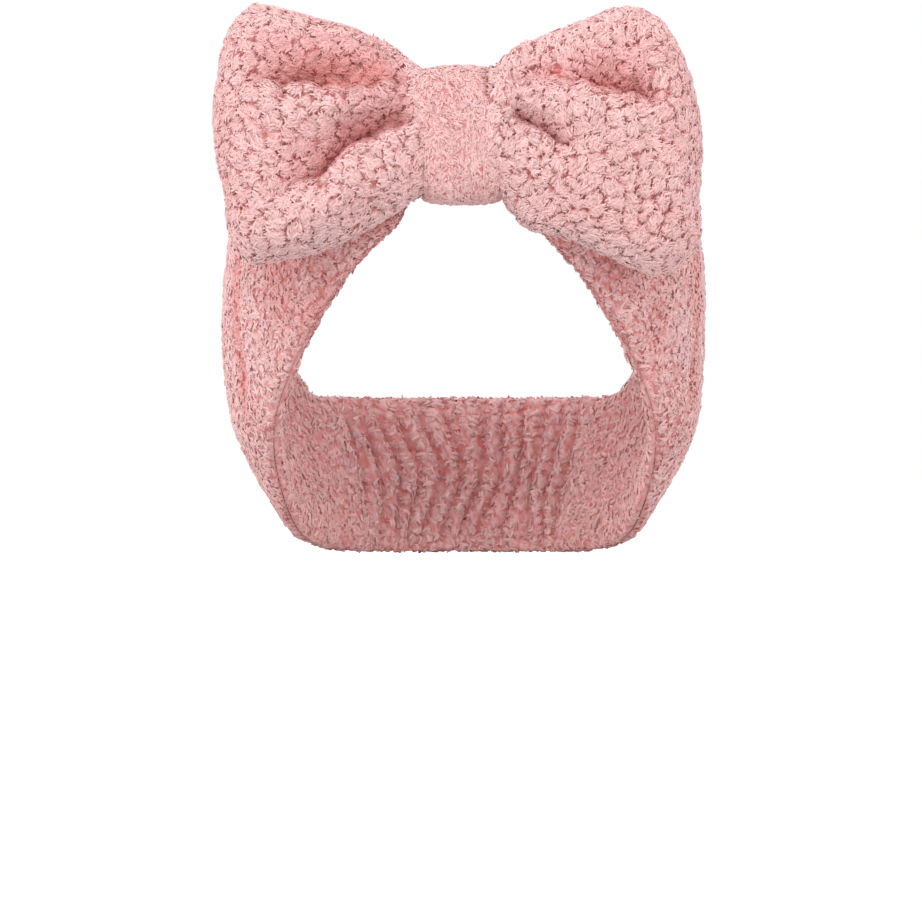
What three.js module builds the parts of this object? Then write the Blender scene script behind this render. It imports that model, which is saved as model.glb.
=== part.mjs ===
// Plush spa headband with a pinched bow, modelled as it is worn on an adult head.
//
// Millimetres and degrees. +Z is up, -Y is the front, where the bow is, and +X is to the
// right of someone facing the bow. Left and right in the names are seen the same way. The
// origin is the centre of the head opening. Angles round the head start at the front centre
// and grow towards +X.
import * as THREE from 'three';

// The head form that the band hugs.
const HEAD_HALF_WIDTH = 77;
const HEAD_HALF_LENGTH = 84;
const HEAD_LOWER_ROUNDING = 165;
const CROWN_HEIGHT = 90;
const CROWN_LEAN = 0.1;

// The band: two plush layers, sewn together along their long edges.
const FACE_THICKNESS = 9;
const LINING_THICKNESS = 8;
const NECK_THICKNESS_SHARE = 0.56;
const LAYER_GAP = 0.5;
const LAYER_EDGE = 1.6;
const NAPE_HEIGHT = -96;
const FOREHEAD_RISE = 135;
const RISE_POWER = 6;
const BAND_WIDTH_FRONT = 40;
const BAND_WIDTH_SIDE = 116;
const BAND_WIDTH_REAR = 58;
const NECK_HEIGHT = 63.5;
const NECK_END_ANGLE = 14.5;
const PINCH_END_ANGLE = 24;
const FULL_THICKNESS_ANGLE = 30;
const WIDEST_ANGLE = 76;
const NARROWING_START_ANGLE = 92;
const PANEL_END_ANGLE = 137;

// The elasticated rear casing.
const CASING_OUTER_THICKNESS = 7;
const CASING_INNER_THICKNESS = 6;
const ELASTIC_WIDTH = 30;
const ELASTIC_THICKNESS = 1.2;
const JOIN_SEAM_WIDTH = 5;
const JOIN_SEAM_THICKNESS = 12;
const ELASTIC_TACK_WIDTH = 2.6;

// Threads.
const SEAM_RADIUS = 0.8;
const THREAD_SIDES = 6;
const CLEARANCE = 0.35;
const SEAM_CLEARANCE = 0.65;
const FRONT_SEAM_WIDTH = 2.6;
const FRONT_SEAM_DEPTH_SHARE = 0.8;

// The bow: a front and a back panel for each loop, gathered into a waist.
const BOW_CENTRE_HEIGHT = NECK_HEIGHT;
const WAIST_HALF_HEIGHT = 18.5;
const WAIST_HALF_DEPTH = 7.6;
const GATHER_DEPTH = 2.2;
const GATHER_THREAD_WIDTH = 4;
const GATHER_THREAD_THICKNESS = 1.2;
const LOOP_ROOT_HALF_HEIGHT = 20;
const LOOP_ROOT_RADIUS = 8;
const LOOP_HALF_DEPTH = 18;
const LOOP_EDGE = 1.8;
const LOOP_SWEEP = 10;
const LOOP_BAND_CLEARANCE = 2.5;
const LOOP_FULL_DEPTH_DISTANCE = 40;
const LOOP_FOLD_LENGTH = 27;
const LEFT_LOOP = { side: -1, reach: 96.5, rise: 30, drop: 28.5, topInset: 12, bottomInset: 4.5 };
const RIGHT_LOOP = { side: 1, reach: 89.5, rise: 30, drop: 31, topInset: 19, bottomInset: 4 };
const TOP_EDGE_POWER = 2.2;
const BOTTOM_EDGE_POWER = 1.75;

// Colours of the dyed plush, its thread and the undyed elastic.
const FACE_COLOUR = 0xd8a3a1;
const LINING_COLOUR = 0xd39b98;
const KNOT_COLOUR = 0xdaa6a3;
const THREAD_COLOUR = 0xc98d8b;
const ELASTIC_COLOUR = 0xe9d9d6;

// The knot: a strip of the same plush, wrapped round the bow's waist and the band's neck.
const KNOT_WIDTH = 34;
const KNOT_FRONT_THICKNESS = 9;
const KNOT_SIDE_THICKNESS = 5.2;
const KNOT_REAR_THICKNESS = 4.6;
const KNOT_CORNER = 2.5;
const KNOT_OUTER_CORNER = 10;

// The band's shape, worked out from the sizes above.
const MID_HALF_WIDTH = HEAD_HALF_WIDTH + LINING_THICKNESS + LAYER_GAP / 2;
const MID_HALF_LENGTH = HEAD_HALF_LENGTH + LINING_THICKNESS + LAYER_GAP / 2;
const MM_PER_DEGREE = THREE.MathUtils.degToRad(0.9 * (MID_HALF_WIDTH + MID_HALF_LENGTH) / 2);
const LAYER_POWER = 3;
const BAND_STEPS = 28;
const BAND_ROWS = 6;
const CASING_STEPS = 16;

const UP = new THREE.Vector3(0, 0, 1);
const BACK = new THREE.Vector3(0, 1, 0);

const group = new THREE.Group();

function plush(colour) {
  return new THREE.MeshStandardMaterial({ color: colour, roughness: 0.95, metalness: 0 });
}

function thread(colour) {
  return new THREE.MeshStandardMaterial({ color: colour, roughness: 0.7, metalness: 0 });
}

function add(name, geometry, material) {
  const mesh = new THREE.Mesh(geometry, material);
  mesh.name = name;
  group.add(mesh);
}

function smooth(value, start, end) {
  const t = THREE.MathUtils.clamp((value - start) / (end - start), 0, 1);
  return t * t * (3 - 2 * t);
}

function steps(start, end, count) {
  return Array.from({ length: count + 1 }, (_, i) => start + (end - start) * i / count);
}

function signedVolume(points, triangles) {
  let volume = 0;
  for (const [a, b, c] of triangles) {
    volume += points[a].dot(new THREE.Vector3().crossVectors(points[b], points[c])) / 6;
  }
  return volume;
}

// A closed body from shared corner points and triangles, turned so that its faces point out.
function solid(points, triangles) {
  const outward = signedVolume(points, triangles) > 0;
  const geometry = new THREE.BufferGeometry();
  geometry.setFromPoints(points);
  geometry.setIndex(triangles.flatMap(([a, b, c]) => (outward ? [a, b, c] : [a, c, b])));
  geometry.computeVertexNormals();
  return geometry;
}

// A pad between two grids of points of the same size: its two faces and its four edges.
function pad(outer, inner) {
  const rows = outer.length;
  const columns = outer[0].length;
  const points = [...outer.flat(), ...inner.flat()];
  const triangles = [];
  const at = (layer, i, j) => layer * rows * columns + i * columns + j;
  const quad = (a, b, c, d) => triangles.push([a, b, c], [a, c, d]);
  for (let i = 0; i < rows - 1; i++) {
    for (let j = 0; j < columns - 1; j++) {
      quad(at(0, i, j), at(0, i + 1, j), at(0, i + 1, j + 1), at(0, i, j + 1));
      quad(at(1, i, j), at(1, i, j + 1), at(1, i + 1, j + 1), at(1, i + 1, j));
    }
    quad(at(0, i, 0), at(1, i, 0), at(1, i + 1, 0), at(0, i + 1, 0));
    quad(at(0, i + 1, columns - 1), at(1, i + 1, columns - 1), at(1, i, columns - 1), at(0, i, columns - 1));
  }
  for (let j = 0; j < columns - 1; j++) {
    quad(at(0, 0, j + 1), at(1, 0, j + 1), at(1, 0, j), at(0, 0, j));
    quad(at(0, rows - 1, j), at(1, rows - 1, j), at(1, rows - 1, j + 1), at(0, rows - 1, j + 1));
  }
  return solid(points, triangles);
}

// A closed ring: each row of the grid is one closed section, and the last row meets the first.
function ring(sections) {
  const rows = sections.length;
  const columns = sections[0].length;
  const triangles = [];
  const at = (i, j) => (i % rows) * columns + (j % columns);
  for (let i = 0; i < rows; i++) {
    for (let j = 0; j < columns; j++) {
      triangles.push([at(i, j), at(i + 1, j), at(i + 1, j + 1)], [at(i, j), at(i + 1, j + 1), at(i, j + 1)]);
    }
  }
  return solid(sections.flat(), triangles);
}

// A sewn thread line: a round tube with one ring of corners at each point of its route. The
// reference is a direction that the route never follows.
function threadLine(route, reference, radius = SEAM_RADIUS) {
  const turns = steps(0, 2 * Math.PI, THREAD_SIDES).slice(0, -1);
  const last = route.length - 1;
  const rings = route.map((point, i) => {
    const ahead = route[Math.min(i + 1, last)].clone();
    const along = ahead.sub(route[Math.max(i - 1, 0)]).normalize();
    const side = new THREE.Vector3().crossVectors(along, reference).normalize();
    const up = new THREE.Vector3().crossVectors(side, along);
    return turns.map((turn) => point.clone()
      .addScaledVector(side, radius * Math.cos(turn))
      .addScaledVector(up, radius * Math.sin(turn)));
  });
  return capped(rings, route[0], route[last]);
}

// A closed body from rings of corners along its length, with a fan of faces over each end.
function capped(rings, startCentre, endCentre) {
  const columns = rings[0].length;
  const last = rings.length - 1;
  const points = [...rings.flat(), startCentre.clone(), endCentre.clone()];
  const triangles = [];
  const at = (i, j) => i * columns + (j % columns);
  for (let i = 0; i < last; i++) {
    for (let j = 0; j < columns; j++) {
      triangles.push([at(i, j), at(i + 1, j), at(i + 1, j + 1)], [at(i, j), at(i + 1, j + 1), at(i, j + 1)]);
    }
  }
  for (let j = 0; j < columns; j++) {
    triangles.push([points.length - 2, at(0, j), at(0, j + 1)]);
    triangles.push([points.length - 1, at(last, j + 1), at(last, j)]);
  }
  return solid(points, triangles);
}

// ---- The band ----

// The turn from the front centre, from 0 to 180, whichever way round it is measured.
function turnFromFront(angle) {
  return Math.abs(((angle + 540) % 360) - 180);
}

// Share of the full ring size at a height: rounded in below the origin, leaning in above it.
function ringShare(z) {
  if (z < 0) {
    return Math.sqrt(1 - (z / HEAD_LOWER_ROUNDING) ** 2);
  }
  return 1 - CROWN_LEAN * (z / CROWN_HEIGHT) ** 2;
}

// The lower edge falls from the forehead to the nape, and is level where the knot pinches it.
function lowerEdge(angle) {
  const turn = turnFromFront(angle);
  const free = NAPE_HEIGHT + FOREHEAD_RISE * Math.cos(THREE.MathUtils.degToRad(turn) / 2) ** RISE_POWER;
  const pinched = NECK_HEIGHT - BAND_WIDTH_FRONT / 2;
  return THREE.MathUtils.lerp(pinched, free, smooth(turn, NECK_END_ANGLE, PINCH_END_ANGLE));
}

function bandWidth(angle) {
  const turn = turnFromFront(angle);
  const widening = (BAND_WIDTH_SIDE - BAND_WIDTH_FRONT) * smooth(turn, NECK_END_ANGLE, WIDEST_ANGLE);
  const narrowing = (BAND_WIDTH_SIDE - BAND_WIDTH_REAR)
    * smooth(turn, NARROWING_START_ANGLE, PANEL_END_ANGLE);
  return BAND_WIDTH_FRONT + widening - narrowing;
}

// A point of the band: the angle round the head, the height from -1 (lower edge) to 1 (upper
// edge), and the distance outwards from the surface where the two layers meet.
function bandPoint(angle, height, outwards) {
  const z = lowerEdge(angle) + bandWidth(angle) * (height + 1) / 2;
  const share = ringShare(z);
  const turn = THREE.MathUtils.degToRad(angle);
  const halfWidth = MID_HALF_WIDTH * share;
  const halfLength = MID_HALF_LENGTH * share;
  const normal = new THREE.Vector2(Math.sin(turn) / halfWidth, -Math.cos(turn) / halfLength).normalize();
  return new THREE.Vector3(
    halfWidth * Math.sin(turn) + normal.x * outwards,
    -halfLength * Math.cos(turn) + normal.y * outwards,
    z,
  );
}

// A plush layer is thickest along its middle and thin at its sewn edges and at the neck.
function layerThickness(full, angle, height) {
  const fullness = smooth(turnFromFront(angle), NECK_END_ANGLE, FULL_THICKNESS_ANGLE);
  const neck = THREE.MathUtils.lerp(NECK_THICKNESS_SHARE, 1, fullness);
  const crown = Math.sqrt(1 - Math.abs(height) ** LAYER_POWER);
  return LAYER_EDGE + (full * neck - LAYER_EDGE) * crown;
}

function bandLayer(angles, heights, gap, thickness, direction) {
  const near = angles.map((a) => heights.map((h) => bandPoint(a, h, direction * gap)));
  const far = angles.map((a) => heights.map((h) => {
    return bandPoint(a, h, direction * (gap + layerThickness(thickness, a, h)));
  }));
  return pad(far, near);
}

// Heights across the band, closer together near the edges, where the layers curve most.
function acrossBand(count) {
  return steps(-1, 1, count).map((t) => Math.sin(t * Math.PI / 2));
}

// The height just outside a sewn edge where its thread runs, allowing for the edge's slope.
function seamHeight(angle, end) {
  const ahead = bandPoint(angle + 1, end, 0);
  const behind = bandPoint(angle - 1, end, 0);
  const slope = (ahead.z - behind.z) / Math.hypot(ahead.x - behind.x, ahead.y - behind.y);
  const away = (SEAM_RADIUS + SEAM_CLEARANCE) * Math.hypot(1, slope);
  return end * (1 + 2 * away / bandWidth(angle));
}

function edgeSeam(angles, end) {
  const route = angles.map((a) => bandPoint(a, seamHeight(a, end), 0));
  return threadLine(route, UP);
}

const FRONT_START_ANGLE = (FRONT_SEAM_WIDTH / 2 + CLEARANCE) / MM_PER_DEGREE;
const JOIN_START_ANGLE = PANEL_END_ANGLE + CLEARANCE / MM_PER_DEGREE;
const JOIN_END_ANGLE = JOIN_START_ANGLE + JOIN_SEAM_WIDTH / MM_PER_DEGREE;
const CASING_START_ANGLE = JOIN_END_ANGLE + CLEARANCE / MM_PER_DEGREE;
const TACK_START_ANGLE = CASING_START_ANGLE;
const TACK_END_ANGLE = TACK_START_ANGLE + ELASTIC_TACK_WIDTH / MM_PER_DEGREE;
const ELASTIC_START_ANGLE = TACK_END_ANGLE + CLEARANCE / MM_PER_DEGREE;

function addBandSide(name, side) {
  const angles = steps(FRONT_START_ANGLE, PANEL_END_ANGLE, BAND_STEPS).map((a) => side * a);
  const heights = acrossBand(BAND_ROWS);
  const face = bandLayer(angles, heights, LAYER_GAP / 2, FACE_THICKNESS, 1);
  const lining = bandLayer(angles, heights, LAYER_GAP / 2, LINING_THICKNESS, -1);
  add(`band_face_${name}`, face, plush(FACE_COLOUR));
  add(`band_lining_${name}`, lining, plush(LINING_COLOUR));
  add(`band_upper_seam_${name}`, edgeSeam(angles, 1), thread(THREAD_COLOUR));
  add(`band_lower_seam_${name}`, edgeSeam(angles, -1), thread(THREAD_COLOUR));
}

// The seam allowance and thread that join the left and right panels under the knot.
function addFrontSeam() {
  const end = FRONT_SEAM_WIDTH / 2 / MM_PER_DEGREE;
  const angles = steps(-end, end, 1);
  const heights = acrossBand(BAND_ROWS);
  const outer = angles.map((a) => heights.map((h) => {
    return bandPoint(a, h, layerThickness(FACE_THICKNESS, a, h) * FRONT_SEAM_DEPTH_SHARE);
  }));
  const inner = angles.map((a) => heights.map((h) => {
    return bandPoint(a, h, -layerThickness(LINING_THICKNESS, a, h) * FRONT_SEAM_DEPTH_SHARE);
  }));
  add('front_centre_seam', pad(outer, inner), thread(THREAD_COLOUR));
}

// ---- The elasticated rear ----

function addRearCasing() {
  const gap = ELASTIC_THICKNESS / 2 + CLEARANCE;
  const angles = steps(CASING_START_ANGLE, 360 - CASING_START_ANGLE, CASING_STEPS);
  const heights = acrossBand(BAND_ROWS);
  const outer = bandLayer(angles, heights, gap, CASING_OUTER_THICKNESS, 1);
  const inner = bandLayer(angles, heights, gap, CASING_INNER_THICKNESS, -1);
  add('rear_casing_outer', outer, plush(FACE_COLOUR));
  add('rear_casing_inner', inner, plush(LINING_COLOUR));
  for (const [name, end] of [['upper', 1], ['lower', -1]]) {
    add(`casing_${name}_seam`, edgeSeam(angles, end), thread(THREAD_COLOUR));
  }
}

// A flat strip between the casing's two layers, centred on the casing's height.
function stripBetweenLayers(startAngle, endAngle, count, width, thickness) {
  const angles = steps(startAngle, endAngle, count);
  const edge = (a) => width / bandWidth(a);
  const face = (outwards) => angles.map((a) => {
    return steps(-1, 1, 2).map((t) => bandPoint(a, t * edge(a), outwards));
  });
  return pad(face(thickness / 2), face(-thickness / 2));
}

function addElastic() {
  const strip = stripBetweenLayers(
    ELASTIC_START_ANGLE, 360 - ELASTIC_START_ANGLE, CASING_STEPS, ELASTIC_WIDTH, ELASTIC_THICKNESS);
  add('rear_elastic', strip, new THREE.MeshStandardMaterial({ color: ELASTIC_COLOUR, roughness: 0.8 }));
}

function addRearJoin(name, side) {
  const tack = stripBetweenLayers(
    side * TACK_START_ANGLE, side * TACK_END_ANGLE, 1, ELASTIC_WIDTH, ELASTIC_THICKNESS);
  add(`elastic_tack_${name}`, tack, thread(THREAD_COLOUR));
  const angles = steps(JOIN_START_ANGLE, JOIN_END_ANGLE, 2).map((a) => side * a);
  const heights = acrossBand(BAND_ROWS);
  const half = (direction) => angles.map((a) => heights.map((h) => {
    return bandPoint(a, h, direction * layerThickness(JOIN_SEAM_THICKNESS / 2, a, h));
  }));
  add(`rear_join_seam_${name}`, pad(half(1), half(-1)), thread(THREAD_COLOUR));
}

// ---- The bow ----

// The front and the rear of the band's neck, over its whole height and width.
const NECK_FRONT = Math.min(...acrossBand(BAND_ROWS).map((h) => {
  return bandPoint(0, h, LAYER_GAP / 2 + layerThickness(FACE_THICKNESS, 0, h)).y;
}));
const NECK_REAR = Math.max(...acrossBand(BAND_ROWS).map((h) => {
  return bandPoint(NECK_END_ANGLE, h, -LAYER_GAP / 2 - layerThickness(LINING_THICKNESS, 0, h)).y;
}));
const WAIST_Y = NECK_FRONT - 2 * CLEARANCE - WAIST_HALF_DEPTH;
const LOOP_ROOT = KNOT_WIDTH / 2 + CLEARANCE;

// An oval section of the waist at one place along it, with the gathers pulled in at the middle.
function waistOval(along, grow, turn) {
  const gather = GATHER_DEPTH * (1 - smooth(Math.abs(along), GATHER_THREAD_WIDTH / 2 + 1, KNOT_WIDTH / 4));
  return new THREE.Vector3(
    along,
    WAIST_Y + (WAIST_HALF_DEPTH - gather + grow) * Math.cos(turn),
    BOW_CENTRE_HEIGHT + (WAIST_HALF_HEIGHT - gather + grow) * Math.sin(turn),
  );
}

function addWaist() {
  const turns = steps(0, 2 * Math.PI, 20).slice(0, -1);
  const places = steps(-KNOT_WIDTH / 2, KNOT_WIDTH / 2, 10);
  const centre = (x) => new THREE.Vector3(x, WAIST_Y, BOW_CENTRE_HEIGHT);
  const ovals = places.map((x) => turns.map((turn) => waistOval(x, 0, turn)));
  add('bow_waist', capped(ovals, centre(-KNOT_WIDTH / 2), centre(KNOT_WIDTH / 2)), plush(FACE_COLOUR));
}

// Turns of strong thread wound round the waist, as one flat ring.
function addGatherThread() {
  const half = GATHER_THREAD_WIDTH / 2;
  const turns = steps(0, 2 * Math.PI, 20).slice(0, -1);
  const far = CLEARANCE + GATHER_THREAD_THICKNESS;
  const sections = turns.map((turn) => [
    waistOval(0, CLEARANCE, turn).setX(-half),
    waistOval(0, CLEARANCE, turn).setX(half),
    waistOval(0, far, turn).setX(half),
    waistOval(0, far, turn).setX(-half),
  ]);
  add('bow_gather_thread', ring(sections), thread(THREAD_COLOUR));
}

// The plane in the middle of a loop sweeps back towards the wearer as it leaves the knot.
function loopPlane(distance) {
  return WAIST_Y + LOOP_SWEEP * ((distance - LOOP_ROOT) / (LEFT_LOOP.reach - LOOP_ROOT)) ** 2;
}

function bandFrontAt(x, z) {
  const share = ringShare(z);
  const halfWidth = MID_HALF_WIDTH * share + LAYER_GAP / 2 + FACE_THICKNESS;
  const halfLength = MID_HALF_LENGTH * share + LAYER_GAP / 2 + FACE_THICKNESS;
  return Math.abs(x) < halfWidth ? -halfLength * Math.sqrt(1 - (x / halfWidth) ** 2) : 0;
}

// A place on a loop: along is 0 at the knot and 1 at the outer fold, and height runs from -1 at
// the lower edge to 1 at the upper edge.
function loopPlace(loop, along, height) {
  const inset = height > 0 ? loop.topInset * height ** 3 : loop.bottomInset * Math.abs(height) ** 3;
  const distance = LOOP_ROOT + (loop.reach - inset - LOOP_ROOT) * along;
  const t = THREE.MathUtils.clamp((distance - LOOP_ROOT) / (loop.reach - loop.topInset - LOOP_ROOT), 0, 1);
  const top = LOOP_ROOT_HALF_HEIGHT + loop.rise * (1 - (1 - t) ** TOP_EDGE_POWER);
  const bottom = LOOP_ROOT_HALF_HEIGHT + loop.drop * (1 - (1 - t) ** BOTTOM_EDGE_POWER);
  const z = BOW_CENTRE_HEIGHT + (height > 0 ? top : bottom) * height;
  return { distance, z };
}

// Half the loop's depth: round at the knot, so that the loop can flex about it, full in the
// middle, and rounded in again at the outer fold and at both edges.
function loopHalfDepth(loop, distance, height) {
  const fromKnot = distance - LOOP_ROOT;
  const grown = smooth(fromKnot, LOOP_ROOT_RADIUS, LOOP_FULL_DEPTH_DISTANCE);
  const root = fromKnot < LOOP_ROOT_RADIUS
    ? Math.sqrt(LOOP_ROOT_RADIUS ** 2 - (LOOP_ROOT_RADIUS - fromKnot) ** 2)
    : LOOP_ROOT_RADIUS + (LOOP_HALF_DEPTH - LOOP_ROOT_RADIUS) * grown;
  const fold = THREE.MathUtils.clamp((loop.reach - distance) / LOOP_FOLD_LENGTH, 0, 1);
  const end = Math.sqrt(1 - (1 - fold) ** 2);
  return LOOP_EDGE + Math.max(0, root * end * Math.sqrt(1 - height ** 4) - LOOP_EDGE);
}

const LOOP_ROWS = 8;
const LOOP_ALONGS = steps(0.16, 1, 10);

function loopWall(loop, direction) {
  const roundedRoot = steps(0.1, 1, 4).map((t) => LOOP_ROOT_RADIUS * (1 - Math.cos(t * Math.PI / 2)));
  const span = loop.reach - LOOP_ROOT;
  const alongs = [...roundedRoot.map((d) => d / span), ...LOOP_ALONGS];
  const heights = acrossBand(LOOP_ROWS);
  const wall = (inside) => alongs.map((along) => heights.map((height) => {
    const { distance, z } = loopPlace(loop, along, height);
    const plane = loopPlane(distance);
    const x = loop.side * distance;
    let depth = loopHalfDepth(loop, distance, height);
    if (direction > 0) {
      depth = Math.max(LOOP_EDGE, Math.min(depth, bandFrontAt(x, z) - LOOP_BAND_CLEARANCE - plane));
    }
    const offset = inside ? CLEARANCE + (depth - LOOP_EDGE) / 2 : depth;
    return new THREE.Vector3(x, plane + direction * offset, z);
  }));
  return pad(wall(false), wall(true));
}

// One thread line round the upper edge, the outer fold and the lower edge of a loop, just
// outside the edge of its two walls.
function loopSeam(loop) {
  const alongs = LOOP_ALONGS;
  const heights = acrossBand(LOOP_ROWS);
  const edge = [
    ...alongs.map((along) => loopPlace(loop, along, 1)),
    ...heights.slice(1, -1).reverse().map((height) => loopPlace(loop, 1, height)),
    ...alongs.map((along) => loopPlace(loop, along, -1)).reverse(),
  ];
  const corners = edge.map(({ distance, z }) => new THREE.Vector2(distance, z));
  const route = corners.slice(1, -1).map((corner, i) => {
    const before = corner.clone().sub(corners[i]).normalize();
    const after = corners[i + 2].clone().sub(corner).normalize();
    const outwards = new THREE.Vector2(-(before.y + after.y), before.x + after.x).normalize();
    const mitre = 1 / Math.abs(outwards.x * after.y - outwards.y * after.x);
    const place = corner.clone().addScaledVector(outwards, (SEAM_RADIUS + SEAM_CLEARANCE) * mitre);
    return new THREE.Vector3(loop.side * place.x, loopPlane(corner.x), place.y);
  });
  return threadLine(route, BACK);
}

function addLoop(name, loop) {
  add(`bow_front_${name}`, loopWall(loop, -1), plush(FACE_COLOUR));
  add(`bow_back_${name}`, loopWall(loop, 1), plush(FACE_COLOUR));
  add(`bow_edge_seam_${name}`, loopSeam(loop), thread(THREAD_COLOUR));
}

// ---- The knot ----

const KNOT_FRONT_Y = WAIST_Y - WAIST_HALF_DEPTH - CLEARANCE;
const KNOT_REAR_Y = NECK_REAR + 2 * CLEARANCE;
const KNOT_HOLE_HALF_DEPTH = (KNOT_REAR_Y - KNOT_FRONT_Y) / 2;
const KNOT_HOLE_HALF_HEIGHT = BAND_WIDTH_FRONT / 2 + 2 * SEAM_RADIUS + SEAM_CLEARANCE + 3 * CLEARANCE;
const KNOT_CENTRE_Y = (KNOT_REAR_Y + KNOT_FRONT_Y) / 2;

// A point of a rectangle with round corners, by its turn round the centre.
function roundedRectangle(turn, left, right, halfHeight, corner) {
  const y = Math.cos(turn);
  const z = Math.sin(turn);
  const halfDepth = y < 0 ? left : right;
  const power = 2 * Math.min(halfHeight, halfDepth) / corner;
  const size = (Math.abs(y / halfDepth) ** power + Math.abs(z / halfHeight) ** power) ** (-1 / power);
  return { y: y * size, z: z * size };
}

function addKnot() {
  const turns = steps(0, 2 * Math.PI, 32).slice(0, -1);
  const half = KNOT_WIDTH / 2;
  const profile = [
    [-1, 0.3], [-0.94, 0], [0, 0], [0.94, 0], [1, 0.3],
    [1, 0.6], [0.86, 0.86], [0.5, 0.97], [0, 1], [-0.5, 0.97], [-0.86, 0.86], [-1, 0.6],
  ];
  const sections = turns.map((turn) => {
    const inner = roundedRectangle(
      turn, KNOT_HOLE_HALF_DEPTH, KNOT_HOLE_HALF_DEPTH, KNOT_HOLE_HALF_HEIGHT, KNOT_CORNER);
    const outer = roundedRectangle(
      turn, KNOT_HOLE_HALF_DEPTH + KNOT_FRONT_THICKNESS, KNOT_HOLE_HALF_DEPTH + KNOT_REAR_THICKNESS,
      KNOT_HOLE_HALF_HEIGHT + KNOT_SIDE_THICKNESS, KNOT_OUTER_CORNER);
    return profile.map(([across, through]) => new THREE.Vector3(
      half * across,
      KNOT_CENTRE_Y + THREE.MathUtils.lerp(inner.y, outer.y, through),
      BOW_CENTRE_HEIGHT + THREE.MathUtils.lerp(inner.z, outer.z, through),
    ));
  });
  add('knot_wrap', ring(sections), plush(KNOT_COLOUR));
}

// The hand-sewn line that closes the strip behind the band.
function addKnotStitch() {
  const y = KNOT_REAR_Y + KNOT_REAR_THICKNESS + SEAM_RADIUS + CLEARANCE;
  const points = steps(-KNOT_WIDTH / 2.4, KNOT_WIDTH / 2.4, 4).map((x) => {
    return new THREE.Vector3(x, y, BOW_CENTRE_HEIGHT);
  });
  add('knot_closing_stitch', threadLine(points, UP), thread(THREAD_COLOUR));
}

addBandSide('left', -1);
addBandSide('right', 1);
addFrontSeam();
addRearCasing();
addElastic();
addRearJoin('left', -1);
addRearJoin('right', 1);
addWaist();
addGatherThread();
addLoop('left', LEFT_LOOP);
addLoop('right', RIGHT_LOOP);
addKnot();
addKnotStitch();

export default group;
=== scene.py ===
import math

import bpy
import numpy as np
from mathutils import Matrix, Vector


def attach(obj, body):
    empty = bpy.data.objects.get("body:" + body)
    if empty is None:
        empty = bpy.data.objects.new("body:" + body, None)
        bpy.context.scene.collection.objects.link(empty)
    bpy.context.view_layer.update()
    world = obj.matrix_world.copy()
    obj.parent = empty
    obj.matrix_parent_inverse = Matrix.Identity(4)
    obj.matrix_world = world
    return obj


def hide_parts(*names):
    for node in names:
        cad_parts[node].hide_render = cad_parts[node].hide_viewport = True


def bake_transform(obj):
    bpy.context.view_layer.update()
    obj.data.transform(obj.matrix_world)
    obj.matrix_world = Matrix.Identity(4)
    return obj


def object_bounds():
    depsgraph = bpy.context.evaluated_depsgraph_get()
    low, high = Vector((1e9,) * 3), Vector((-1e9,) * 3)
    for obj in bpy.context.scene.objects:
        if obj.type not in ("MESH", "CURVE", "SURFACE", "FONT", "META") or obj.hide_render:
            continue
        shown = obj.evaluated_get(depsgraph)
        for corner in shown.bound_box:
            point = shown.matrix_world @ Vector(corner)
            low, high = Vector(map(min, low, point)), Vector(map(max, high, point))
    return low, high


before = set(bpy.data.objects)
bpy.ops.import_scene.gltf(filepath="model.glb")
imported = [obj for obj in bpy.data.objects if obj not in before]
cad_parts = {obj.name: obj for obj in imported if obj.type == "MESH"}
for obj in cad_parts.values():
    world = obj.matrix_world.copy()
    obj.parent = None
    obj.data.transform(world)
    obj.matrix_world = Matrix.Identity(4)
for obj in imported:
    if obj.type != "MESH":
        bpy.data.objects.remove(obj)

cad_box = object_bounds()


# ---------------------------------------------------------------------------
# Stage: a camera straight in front of the bow, a pale floor just under the
# nape edge, a white surround and large soft lights. None of it is the object.
# ---------------------------------------------------------------------------

CAMERA_DISTANCE = 8.0
VIEW_WIDTH = 0.3568
CAMERA_AIM = (-0.0015, 0.0, -0.0617)
SENSOR_WIDTH = 36.0
FLOOR_DROP = 0.004
FLOOR_SIZE = 60.0
FLOOR_GREY, FLOOR_GLOW = 0.7, 0.62
WHITE = (1, 1, 1, 1)

scene = bpy.context.scene
scene.view_settings.view_transform = "Standard"


def add_camera():
    """A long lens, level with the middle of the view, looking along +Y."""
    data = bpy.data.cameras.new("camera")
    data.sensor_width = SENSOR_WIDTH
    data.lens = SENSOR_WIDTH * CAMERA_DISTANCE / VIEW_WIDTH
    data.clip_end = 4 * CAMERA_DISTANCE
    camera = bpy.data.objects.new("camera", data)
    camera.location = (CAMERA_AIM[0], CAMERA_AIM[1] - CAMERA_DISTANCE, CAMERA_AIM[2])
    camera.rotation_euler = (math.pi / 2, 0, 0)
    scene.collection.objects.link(camera)
    scene.camera = camera


def new_material(name):
    """A material, with its nodes and its links."""
    material = bpy.data.materials.new(name)
    material.use_nodes = True
    return material, material.node_tree.nodes, material.node_tree.links


def set_inputs(node, **values):
    """Sets inputs of a node by name, with an underscore for each space, and returns the node."""
    for name, value in values.items():
        node.inputs[name.replace("_", " ")].default_value = value
    return node


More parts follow.
